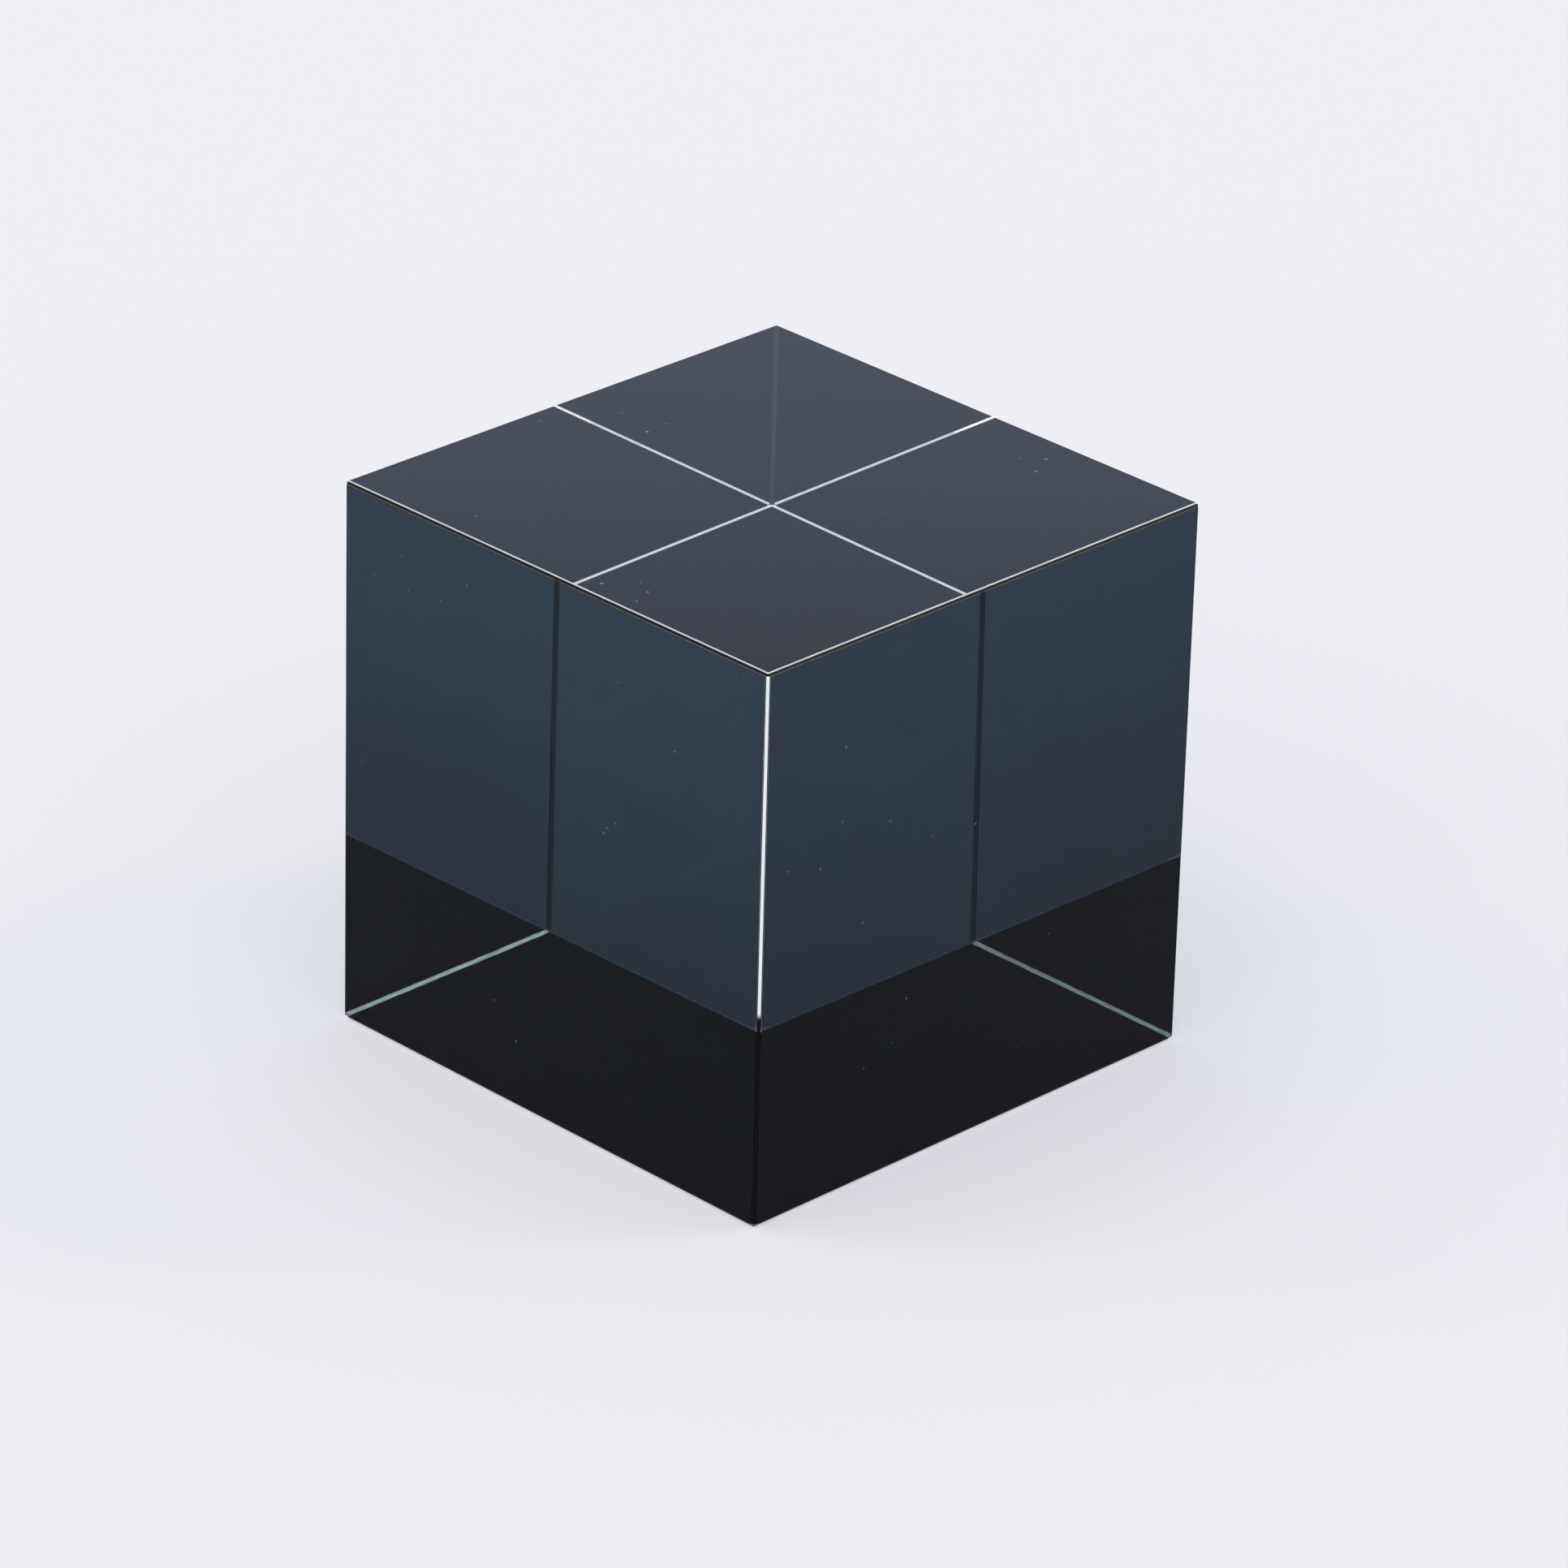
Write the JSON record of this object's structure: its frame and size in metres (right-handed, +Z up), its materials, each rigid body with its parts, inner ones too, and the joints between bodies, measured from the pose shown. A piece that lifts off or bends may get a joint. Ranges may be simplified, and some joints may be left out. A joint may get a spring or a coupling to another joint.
{
  "type": "glass cube with filter sheets",
  "caption": "Solid clear glass cube with narrow chamfered edges, a dark filter sheet on each side and a black backing under it, free-standing.",
  "frame": {"origin": "middle of the square that the cube rests on", "axes": "+Z up out of the bare top face; X and Y square to the side faces, -Y is the front face and +X the right face"},
  "size_m": [0.05, 0.05, 0.0499],
  "materials": {
    "glass_block": "clear optical glass, polished, with narrow chamfers",
    "filter_sheet": "dark slate-blue see-through filter film, glossy",
    "base_backing": "opaque black film"
  },
  "bodies": {
    "root": {"glass_block": "glass_block", "base_backing": "base_backing", "filter_front": "filter_sheet", "filter_right": "filter_sheet", "filter_back": "filter_sheet", "filter_left": "filter_sheet"}
  },
  "joints": []
}
